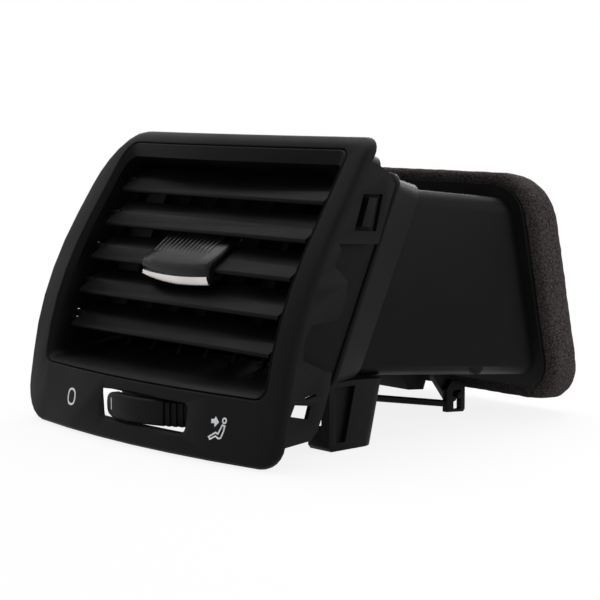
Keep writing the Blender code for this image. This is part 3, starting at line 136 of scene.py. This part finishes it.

# Printed marks and the thumbwheel's painted highlight line, in mm: X and height, seen from the front
MARK_PROUD = 0.09
MARK_SUNK = 0.15
MARK_STROKE = 0.6
MITRE_LIMIT = 0.5
RAY_RUN = 0.05              # metres in front of the face
ZERO_PLACE = (-39.9, 13.4)
ZERO_HALF_SIZE = (2.62, 3.07)
ZERO_SQUARENESS = 0.85
ZERO_STROKE = 0.85
ZERO_STEPS = 40
HEAD_PLACE = (54.63, 16.0)
HEAD_RADIUS = 0.88
HEAD_STEPS = 24
SEATED_FIGURE = ((53.9, 14.3), (52.3, 10.9), (51.1, 11.3), (48.0, 9.4), (48.7, 8.6), (51.3, 10.0),
                 (52.6, 9.3), (53.8, 9.5), (54.8, 12.0), (55.1, 14.1))
AIR_ARROW = ((48.4, 14.4), (49.9, 14.6), (50.2, 13.2), (52.1, 15.1), (50.2, 17.1), (49.7, 16.1),
             (48.3, 16.0))
# The light line on the thumbwheel is a painted highlight along the edge of a raised area.
LINE_X = -10.0
LINE_LOW = 12.2
LINE_HIGH = 17.0
LINE_HALF_WIDTH = 0.25

# Camera: lens and sensor in mm, places in metres
CAMERA_LENS = 108.5
CAMERA_SENSOR = 36.0
CAMERA_CLIP = 0.05
CAMERA_PLACE = (0.5612, FRONT_Y - 0.412, 0.137)
CAMERA_ROUND = math.radians(48.0)
CAMERA_DOWN = math.radians(6.62)

# Floor and light: metres and watts
FLOOR_COLOUR = (0.9, 0.9, 0.9, 1.0)
FLOOR_ROUGH = 0.9
FLOOR_HALF_SIZE = 4.0
FLOOR_DROP = 0.0004
FLOOR_FADE_FROM = 0.16
FLOOR_FADE_TO = 0.45
FLOOR_NEAR_WHITE = 0.86
WHITE = (1.0, 1.0, 1.0, 1.0)
WORLD_LIGHT = 0.3
LAMP_AIM = Vector((0.0, 0.0, 0.05))


def linear(level):
    """Linear value of an sRGB level from 0 to 255."""
    share = level / 255.0
    return share / 12.92 if share <= 0.04045 else ((share + 0.055) / 1.055) ** 2.4


def colour(red, green, blue):
    """Opaque colour from three sRGB levels."""
    return (linear(red), linear(green), linear(blue), 1.0)


def new_material(name, specular, metallic=0.0):
    """A material with one Principled shader."""
    made = bpy.data.materials.new(name)
    made.use_nodes = True
    shader = made.node_tree.nodes["Principled BSDF"]
    shader.inputs["Specular IOR Level"].default_value = specular
    shader.inputs["Metallic"].default_value = metallic
    return made


def clouds(tree, scale, detail):
    """Noise in the object's own metres."""
    place = tree.nodes.new("ShaderNodeTexCoord")
    texture = tree.nodes.new("ShaderNodeTexNoise")
    texture.inputs["Scale"].default_value = scale
    texture.inputs["Detail"].default_value = detail
    tree.links.new(place.outputs["Object"], texture.inputs["Vector"])
    return texture.outputs["Fac"]


def tones(tree, source, dark, light, low=NOISE_LOW, high=NOISE_HIGH):
    """Links the base colour: dark where source is low, light where it is high."""
    ramp = tree.nodes.new("ShaderNodeValToRGB")
    ramp.color_ramp.elements[0].position = low
    ramp.color_ramp.elements[0].color = dark
    ramp.color_ramp.elements[1].position = high
    ramp.color_ramp.elements[1].color = light
    tree.links.new(source, ramp.inputs["Fac"])
    tree.links.new(ramp.outputs["Color"], tree.nodes["Principled BSDF"].inputs["Base Color"])


def map_range(tree, source, from_low, from_high, to_low, to_high):
    """Output that runs from to_low to to_high as source goes from from_low to from_high."""
    spread = tree.nodes.new("ShaderNodeMapRange")
    spread.inputs["From Min"].default_value = from_low
    spread.inputs["From Max"].default_value = from_high
    spread.inputs["To Min"].default_value = to_low
    spread.inputs["To Max"].default_value = to_high
    tree.links.new(source, spread.inputs["Value"])
    return spread.outputs["Result"]


def gloss(tree, source, smooth, rough):
    """Links the roughness: from smooth to rough as source rises."""
    result = map_range(tree, source, NOISE_LOW, NOISE_HIGH, smooth, rough)
    tree.links.new(result, tree.nodes["Principled BSDF"].inputs["Roughness"])


def grain(tree, source, height):
    """Links the surface's fine relief, height metres deep."""
    bump = tree.nodes.new("ShaderNodeBump")
    bump.inputs["Distance"].default_value = height
    tree.links.new(source, bump.inputs["Height"])
    tree.links.new(bump.outputs["Normal"], tree.nodes["Principled BSDF"].inputs["Normal"])


def plastic(name, level, specular=0.07, rough=0.48, grain_scale=1500.0, grain_height=0.00006):
    """Moulded plastic: a faint uneven tone, uneven gloss and the mould's fine grain."""
    made = new_material(name, specular)
    tree = made.node_tree
    patches = clouds(tree, PATCH_SCALE, PATCH_DETAIL)
    low, high = level - TONE_SPREAD, level + TONE_SPREAD
    tones(tree, patches, colour(low, low, low), colour(high, high, high + 1))
    gloss(tree, patches, rough - GLOSS_SPREAD, rough + GLOSS_SPREAD)
    grain(tree, clouds(tree, grain_scale, GRAIN_DETAIL), grain_height)
    return made


def metal(name, dark, light, smooth, rough, patch_scale):
    """Bare or plated metal: a little uneven in tone and gloss."""
    made = new_material(name, METAL_SPECULAR, metallic=1.0)
    tree = made.node_tree
    patches = clouds(tree, patch_scale, METAL_DETAIL)
    tones(tree, patches, dark, light)
    gloss(tree, patches, smooth, rough)
    grain(tree, clouds(tree, METAL_GRAIN_SCALE, METAL_GRAIN_DETAIL), METAL_GRAIN_HEIGHT)
    return made


def foam(name):
    """Open-cell foam: painted shade in its pores, as dark spots in a warm dark grey ground."""
    made = new_material(name, FOAM_SPECULAR)
    tree = made.node_tree
    tree.nodes["Principled BSDF"].inputs["Roughness"].default_value = FOAM_ROUGH
    pore_shade = clouds(tree, FOAM_PORE_SHADE_SCALE, FOAM_PORE_SHADE_DETAIL)
    # Dark end of the spots: painted shade in the foam's pores.
    tones(tree, pore_shade, colour(30, 27, 27), colour(80, 74, 73), low=FOAM_PORE_SHADE_LOW, high=FOAM_PORE_SHADE_HIGH)
    grain(tree, clouds(tree, FOAM_GRAIN_SCALE, FOAM_GRAIN_DETAIL), FOAM_GRAIN_HEIGHT)
    return made


def ink(name):
    """Matt printing ink."""
    made = new_material(name, INK_SPECULAR)
    tree = made.node_tree
    wear = clouds(tree, INK_WEAR_SCALE, INK_WEAR_DETAIL)
    tones(tree, wear, colour(226, 228, 231), colour(240, 242, 245))
    gloss(tree, wear, INK_SMOOTH, INK_ROUGH)
    return made


PLASTICS = {
    # The bezel sits a little darker than the housing and duct: partly its own tone, partly painted shade for its
    # shaded side.
    "bezel_plastic": dict(level=15, rough=0.5, grain_scale=1700.0, grain_height=0.00008),
    # The inner frame, slats and vanes are darker than the face: partly their own tone, partly painted shade inside
    # the opening.
    "frame_plastic": dict(level=11, specular=0.06),
    "slat_plastic": dict(level=12, specular=0.065, rough=0.46),
    "vane_plastic": dict(level=8, specular=0.05),
    "knob_plastic": dict(level=13, specular=0.16, rough=0.3),
    "housing_plastic": dict(level=17),
    "duct_plastic": dict(level=16, grain_scale=900.0, grain_height=0.00004),
    "drive_plastic": dict(level=13, rough=0.42),
}
FINISH = {name: plastic(name, **look) for name, look in PLASTICS.items()}
FINISH["knob_chrome"] = metal("knob_chrome", colour(194, 190, 187), colour(212, 208, 205),
                              smooth=0.2, rough=0.28, patch_scale=60.0)
FINISH["screw_steel"] = metal("screw_steel", colour(132, 132, 134), colour(158, 158, 160),
                              smooth=0.3, rough=0.4, patch_scale=220.0)
FINISH["seal_foam"] = foam("seal_foam")
# The ribs get a lighter copy of the knob's plastic: painted highlight on their crests.
RIB_HIGHLIGHT_FINISH = plastic("ribs_painted_highlight", level=46, specular=0.25, rough=0.28)
# This ink draws the prints and also the thumbwheel's painted highlight line.
PRINT_AND_HIGHLIGHT_INK = ink("print_and_highlight_ink")
SLOTS = {entry["node"]: entry["material_slot"] for entry in frame["record"]["subparts"]}


def smooth_by_angle():
    """Node group: smooth faces, with a hard edge wherever two of them meet above SMOOTH_ANGLE.

    The flat custom normals that the loaded meshes carry go first.
    """
    group = bpy.data.node_groups.new("smooth_by_angle", "GeometryNodeTree")
    group.interface.new_socket("Geometry", in_out="INPUT", socket_type="NodeSocketGeometry")
    group.interface.new_socket("Geometry", in_out="OUTPUT", socket_type="NodeSocketGeometry")
    start = group.nodes.new("NodeGroupInput")
    bare = group.nodes.new("GeometryNodeRemoveAttribute")
    bare.inputs["Name"].default_value = "custom_normal"
    faces = group.nodes.new("GeometryNodeSetShadeSmooth")
    edges = group.nodes.new("GeometryNodeSetShadeSmooth")
    edges.domain = "EDGE"
    angle = group.nodes.new("GeometryNodeInputMeshEdgeAngle")
    sharp = group.nodes.new("FunctionNodeCompare")
    sharp.data_type = "FLOAT"
    sharp.operation = "LESS_THAN"
    sharp.inputs[1].default_value = SMOOTH_ANGLE
    end = group.nodes.new("NodeGroupOutput")
    group.links.new(start.outputs[0], bare.inputs["Geometry"])
    group.links.new(bare.outputs["Geometry"], faces.inputs["Geometry"])
    group.links.new(faces.outputs["Geometry"], edges.inputs["Geometry"])
    group.links.new(angle.outputs["Unsigned Angle"], sharp.inputs[0])
    group.links.new(sharp.outputs["Result"], edges.inputs["Shade Smooth"])
    group.links.new(edges.outputs["Geometry"], end.inputs[0])
    return group


SMOOTHING = smooth_by_angle()


# Pieces
def round_edges(node, width):
    """Gives a piece smooth faces and an edge radius by modifiers. A width of 0 leaves its edges sharp."""
    weld = node.modifiers.new("weld", "WELD")
    weld.merge_threshold = WELD_DISTANCE
    if width:
        bevel = node.modifiers.new("edge_round", "BEVEL")
        bevel.width = width
        bevel.segments = EDGE_SEGMENTS
        bevel.limit_method = "ANGLE"
        bevel.angle_limit = SHARP_ANGLE
        bevel.use_clamp_overlap = True
    smoothing = node.modifiers.new("smoothing", "NODES")
    smoothing.node_group = SMOOTHING


def dress_nodes():
    """Finish and edges of the CAD nodes."""
    for name, node in NODES.items():
        node.data.materials.clear()
        node.data.materials.append(FINISH[SLOTS[name]])
        if name not in SOFT_NODES:
            round_edges(node, EDGE_ROUND)


def new_piece(name, mesh, slot, body, finish=None):
    """A separate visible piece that moves with body."""
    piece = bpy.data.objects.new(name, mesh)
    bpy.context.scene.collection.objects.link(piece)
    mesh.materials.clear()
    mesh.materials.append(finish or FINISH[slot])
    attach(piece, body)
    return piece


def foam_piece(name, node_name, body, voxel, swell):
    """A seal cut from foam sheet: softened edges and an open, pitted surface."""
    mesh = NODES[node_name].data.copy()
    mesh.name = name
    piece = new_piece(name, mesh, "seal_foam", body)
    weld = piece.modifiers.new("weld", "WELD")
    weld.merge_threshold = WELD_DISTANCE
    remesh = piece.modifiers.new("remesh", "REMESH")
    remesh.mode = "VOXEL"
    remesh.voxel_size = voxel
    relax = piece.modifiers.new("relax", "SMOOTH")
    relax.factor = RELAX_FACTOR
    relax.iterations = RELAX_PASSES
    evaluated = piece.evaluated_get(bpy.context.evaluated_depsgraph_get())
    solid = bpy.data.meshes.new_from_object(evaluated)
    solid.name = name
    piece.modifiers.clear()
    piece.data = solid
    solid.materials.clear()
    solid.materials.append(FINISH["seal_foam"])
    normals = [vertex.normal.copy() for vertex in solid.vertices]
    for vertex, normal in zip(solid.vertices, normals):
        at = vertex.co.copy()
        swelling = noise.noise(at * SWELL_SCALE) * swell
        pits = noise.noise(at * PIT_SCALE + PIT_SHIFT) * swell * PIT_SHARE
        vertex.co = at + normal * (swelling + pits)
    for face in solid.polygons:
        face.use_smooth = True
    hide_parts(node_name)


# Grip ribs and bright strip on the knob
SLAT_AXIS = next(Vector(joint["pos_m"]) for joint in frame["joints"] if joint["name"] == "slat_3_tilt")


def on_slat(x, along, above):
    """Place on the centre slat: mm across, behind its front edge and above its middle plane."""
    behind = (along - SLAT_FRONT) * MM
    rise = above * MM
    across, lean = math.cos(SLAT_TILT), math.sin(SLAT_TILT)
    return Vector((x * MM, SLAT_AXIS.y + behind * across - rise * lean,
                   SLAT_AXIS.z + behind * lean + rise * across))


def knob_top(along):
    """Height of the knob's upper face: flat in the middle, higher at its nose and lower at its rear."""
    front = max(0.0, KNOB_NOSE_TO - along) / KNOB_NOSE_TO
    fall = max(0.0, along - KNOB_FALL_FROM) / (RIB_TO - KNOB_FALL_FROM)
    return KNOB_TOP + KNOB_NOSE_RISE * front - KNOB_FALL * fall


def bridge(form, rings, closed=True):
    """Faces between neighbouring rings of vertices, and over both ends where they are not closed."""
    count = len(rings[0])
    pairs = list(zip(rings, rings[1:])) + ([(rings[-1], rings[0])] if closed else [])
    for near, far in pairs:
        for i in range(count):
            j = (i + 1) % count
            form.faces.new((near[i], near[j], far[j], far[i]))
    if not closed:
        form.faces.new(list(reversed(rings[0])))
        form.faces.new(rings[-1])


def mesh_from(form, name):
    """Mesh of a finished bmesh, with its faces pointing out."""
    bmesh.ops.recalc_face_normals(form, faces=form.faces)
    mesh = bpy.data.meshes.new(name)
    form.to_mesh(mesh)
    form.free()
    return mesh


def make_ribs():
    """Low wedges that rise towards the knob's rear edge, lighter than the knob as painted highlight on their
    crests.
    """
    form = bmesh.new()
    for number in range(RIB_COUNT):
        x = RIB_FIRST + RIB_PITCH * number
        rings = []
        for step in range(RIB_STEPS + 1):
            share = step / RIB_STEPS
            along = RIB_FROM + (RIB_TO - RIB_FROM) * share
            base = knob_top(along) - RIB_SUNK
            crest = knob_top(along) + RIB_HEIGHT * share ** RIB_RISE_POWER
            right = ((RIB_HALF_WIDTH * RIB_CREST, crest),
                     (RIB_HALF_WIDTH * RIB_SHOULDER, crest - RIB_SHOULDER_DROP), (RIB_HALF_WIDTH, base))
            left = [(-dx, above) for dx, above in reversed(right)]
            section = (*left, *right)
            rings.append([form.verts.new(on_slat(x + dx, along, above)) for dx, above in section])
        bridge(form, rings, closed=False)
    mesh = mesh_from(form, "knob_grip_ribs")
    new_piece("knob_grip_ribs", mesh, "knob_plastic", "knob", RIB_HIGHLIGHT_FINISH)


def strip_section(share):
    """Rounded section of the bright strip at share, which runs from -1 at its lower left end to 1."""
    nose = -KNOB_FRONT - KNOB_BOW * (1.0 - share ** 2)
    growth = min(1.0, (share + 1.0) / STRIP_GROWS_OVER) ** STRIP_GROWTH_POWER
    low = -STRIP_HEIGHT * (STRIP_LEFT_SHARE + (1.0 - STRIP_LEFT_SHARE) * growth)
    upper = [(nose + behind, above) for behind, above in STRIP_UPPER]
    lower = [(nose + behind, low + above) for behind, above in STRIP_LOWER]
    return upper + lower


def make_strip():
    """Bright strip along the knob's nose."""
    form = bmesh.new()
    rings = []
    for step in range(STRIP_STEPS + 1):
        share = -1.0 + 2.0 * step / STRIP_STEPS
        x = STRIP_MIDDLE + STRIP_HALF_LENGTH * share
        section = strip_section(share)
        rings.append([form.verts.new(on_slat(x, along, above)) for along, above in section])
    bridge(form, rings, closed=False)
    mesh = mesh_from(form, "knob_bright_strip")
    strip = new_piece("knob_bright_strip", mesh, "knob_chrome", "knob")
    round_edges(strip, 0.0)
    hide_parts("knob_trim")


# Printed marks, and a painted highlight on the thumbwheel
def surface_of(node_name):
    """Finds places on a node seen from the front: x, z and how far in front of it, all in mm."""
    mesh = NODES[node_name].data
    corners = [vertex.co for vertex in mesh.vertices]
    tree = BVHTree.FromPolygons(corners, [tuple(face.vertices) for face in mesh.polygons])

    def on_surface(x, z, proud):
        start = Vector((x * MM, FRONT_Y - RAY_RUN, z * MM))
        hit = tree.ray_cast(start, Vector((0.0, 1.0, 0.0)))[0]
        return Vector((hit.x, hit.y - proud * MM, hit.z))

    return on_surface


def outset(loop, distance):
    """The closed loop moved outwards by distance, for a loop that runs anticlockwise."""
    moved = []
    for i, (x, z) in enumerate(loop):
        before, after = loop[i - 1], loop[(i + 1) % len(loop)]
        first = Vector((x - before[0], z - before[1])).normalized()
        second = Vector((after[0] - x, after[1] - z)).normalized()
        out_first, out_second = Vector((first.y, -first.x)), Vector((second.y, -second.x))
        corner = (out_first + out_second).normalized()
        reach = distance / max(MITRE_LIMIT, corner.dot(out_first))
        moved.append((x + corner.x * reach, z + corner.y * reach))
    return moved


def ellipse(place, half_sizes, count, power=1.0):
    """An ellipse as a loop of count points, with fuller corners where power is under 1."""
    turns = [2.0 * math.pi * i / count for i in range(count)]
    return [(place[0] + half_sizes[0] * math.copysign(abs(math.cos(turn)) ** power, math.cos(turn)),
             place[1] + half_sizes[1] * math.copysign(abs(math.sin(turn)) ** power, math.sin(turn)))
            for turn in turns]


def print_stroke(form, surface, loop, stroke):
    """A thin raised line along a closed loop."""
    outer, inner = outset(loop, stroke / 2.0), outset(loop, -stroke / 2.0)
    corners = ((outer, MARK_PROUD), (inner, MARK_PROUD), (inner, -MARK_SUNK), (outer, -MARK_SUNK))
    bridge(form, [[form.verts.new(surface(x, z, proud)) for x, z in edge] for edge, proud in corners])


def print_solid(form, surface, loop):
    """A thin raised patch inside a closed loop."""
    bridge(form, [[form.verts.new(surface(x, z, proud)) for x, z in loop]
                  for proud in (-MARK_SUNK, MARK_PROUD)], closed=False)


def make_marks():
    """A zero and a seated figure with an arrow on the face, and a painted highlight line on the thumbwheel."""
    on_face = surface_of("bezel")
    zero = bmesh.new()
    outline = ellipse(ZERO_PLACE, ZERO_HALF_SIZE, ZERO_STEPS, power=ZERO_SQUARENESS)
    print_stroke(zero, on_face, outline, ZERO_STROKE)
    new_piece("mark_zero", mesh_from(zero, "mark_zero"), "bezel_plastic", "frame", PRINT_AND_HIGHLIGHT_INK)

    person = bmesh.new()
    head = ellipse(HEAD_PLACE, (HEAD_RADIUS, HEAD_RADIUS), HEAD_STEPS)
    print_stroke(person, on_face, head, MARK_STROKE)
    print_stroke(person, on_face, SEATED_FIGURE, MARK_STROKE)
    print_solid(person, on_face, AIR_ARROW)
    mesh = mesh_from(person, "mark_air_to_person")
    new_piece("mark_air_to_person", mesh, "bezel_plastic", "frame", PRINT_AND_HIGHLIGHT_INK)

    # Painted highlight: a thin light line along an edge on the thumbwheel.
    line = bmesh.new()
    left, right = LINE_X - LINE_HALF_WIDTH, LINE_X + LINE_HALF_WIDTH
    patch = ((left, LINE_LOW), (right, LINE_LOW), (right, LINE_HIGH), (left, LINE_HIGH))
    print_solid(line, surface_of("thumbwheel"), patch)
    new_piece("wheel_painted_highlight", mesh_from(line, "wheel_painted_highlight"), "drive_plastic", "thumbwheel", PRINT_AND_HIGHLIGHT_INK)


# Camera, floor and light
def make_camera():
    """Camera at the photograph's viewing angle, in front of the right end of the face."""
    camera_data = bpy.data.cameras.new("camera")
    camera_data.lens = CAMERA_LENS
    camera_data.sensor_width = CAMERA_SENSOR
    camera_data.clip_start = CAMERA_CLIP
    camera = bpy.data.objects.new("camera", camera_data)
    bpy.context.scene.collection.objects.link(camera)
    camera.location = CAMERA_PLACE
    level = math.cos(CAMERA_DOWN)
    look = Vector((-math.sin(CAMERA_ROUND) * level, math.cos(CAMERA_ROUND) * level,
                   -math.sin(CAMERA_DOWN)))
    camera.rotation_euler = look.to_track_quat("-Z", "Y").to_euler()
    bpy.context.scene.camera = camera


def seen_directly(tree):
    """1 for camera, glossy and transmission rays, 0 for the light that falls on the object."""
    paths = tree.nodes.new("ShaderNodeLightPath")
    source = paths.outputs["Is Camera Ray"]
    for kind in ("Is Glossy Ray", "Is Transmission Ray"):
        either = tree.nodes.new("ShaderNodeMath")
        either.operation = "MAXIMUM"
        tree.links.new(source, either.inputs[0])
        tree.links.new(paths.outputs[kind], either.inputs[1])
        source = either.outputs["Value"]
    return source


def blended(tree, factor, first, second, output):
    """Links the output: first where factor is 0, second where it is 1."""
    blend = tree.nodes.new("ShaderNodeMixShader")
    tree.links.new(factor, blend.inputs["Fac"])
    tree.links.new(first, blend.inputs[1])
    tree.links.new(second, blend.inputs[2])
    tree.links.new(blend.outputs["Shader"], output.inputs["Surface"])


def floor_material():
    """Pale floor that keeps the object's shadow near it and is plain white further out."""
    made = new_material("floor", 0.0)
    tree = made.node_tree
    shader = tree.nodes["Principled BSDF"]
    shader.inputs["Base Color"].default_value = FLOOR_COLOUR
    shader.inputs["Roughness"].default_value = FLOOR_ROUGH
    white = tree.nodes.new("ShaderNodeEmission")
    place = tree.nodes.new("ShaderNodeTexCoord")
    distance = tree.nodes.new("ShaderNodeVectorMath")
    distance.operation = "LENGTH"
    tree.links.new(place.outputs["Object"], distance.inputs[0])
    fade = map_range(tree, distance.outputs["Value"], FLOOR_FADE_FROM, FLOOR_FADE_TO,
                     FLOOR_NEAR_WHITE, 1.0)
    share = tree.nodes.new("ShaderNodeMath")
    share.operation = "MULTIPLY"
    tree.links.new(fade, share.inputs[0])
    tree.links.new(seen_directly(tree), share.inputs[1])
    blended(tree, share.outputs["Value"], shader.outputs["BSDF"], white.outputs["Emission"],
            tree.nodes["Material Output"])
    return made


def make_floor():
    """Wide floor just under the part."""
    mesh = bpy.data.meshes.new("floor")
    side = FLOOR_HALF_SIZE
    mesh.from_pydata([(-side, -side, 0), (side, -side, 0), (side, side, 0), (-side, side, 0)], [],
                     [(0, 1, 2, 3)])
    mesh.materials.append(floor_material())
    floor = bpy.data.objects.new("floor", mesh)
    bpy.context.scene.collection.objects.link(floor)
    floor.location.z = -FLOOR_DROP


def make_world():
    """White studio: strength 1 where it is seen or mirrored, softer as light."""
    world = bpy.data.worlds.new("studio")
    bpy.context.scene.world = world
    world.use_nodes = True
    tree = world.node_tree
    tree.nodes.clear()
    output = tree.nodes.new("ShaderNodeOutputWorld")
    seen = tree.nodes.new("ShaderNodeBackground")
    seen.inputs["Color"].default_value = WHITE
    seen.inputs["Strength"].default_value = 1.0
    light = tree.nodes.new("ShaderNodeBackground")
    light.inputs["Color"].default_value = WHITE
    light.inputs["Strength"].default_value = WORLD_LIGHT
    blended(tree, seen_directly(tree), light.outputs["Background"], seen.outputs["Background"], output)


def softbox(name, location, width, height, power):
    """Area lamp that faces the middle of the object."""
    lamp_data = bpy.data.lights.new(name, "AREA")
    lamp_data.shape = "RECTANGLE"
    lamp_data.size = width
    lamp_data.size_y = height
    lamp_data.energy = power
    lamp = bpy.data.objects.new(name, lamp_data)
    bpy.context.scene.collection.objects.link(lamp)
    lamp.location = location
    aim = LAMP_AIM - Vector(location)
    lamp.rotation_euler = aim.to_track_quat("-Z", "Y").to_euler()


dress_nodes()
foam_piece("foam_collar", "foam_seal", "frame", COLLAR_VOXEL, COLLAR_SWELL)
foam_piece("flap_foam_edge", "flap_seal", "flap", FLAP_SEAL_VOXEL, FLAP_SEAL_SWELL)
make_ribs()
make_strip()
make_marks()
make_camera()
make_floor()
make_world()
softbox("key", (-0.2, 0.15, 1.1), width=1.4, height=1.0, power=13.0)
softbox("side", (1.1, 0.5, 0.6), width=1.0, height=0.8, power=4.5)
softbox("back", (-0.5, 1.2, 0.45), width=1.2, height=0.6, power=8.0)
bpy.context.scene.view_settings.view_transform = "Standard"
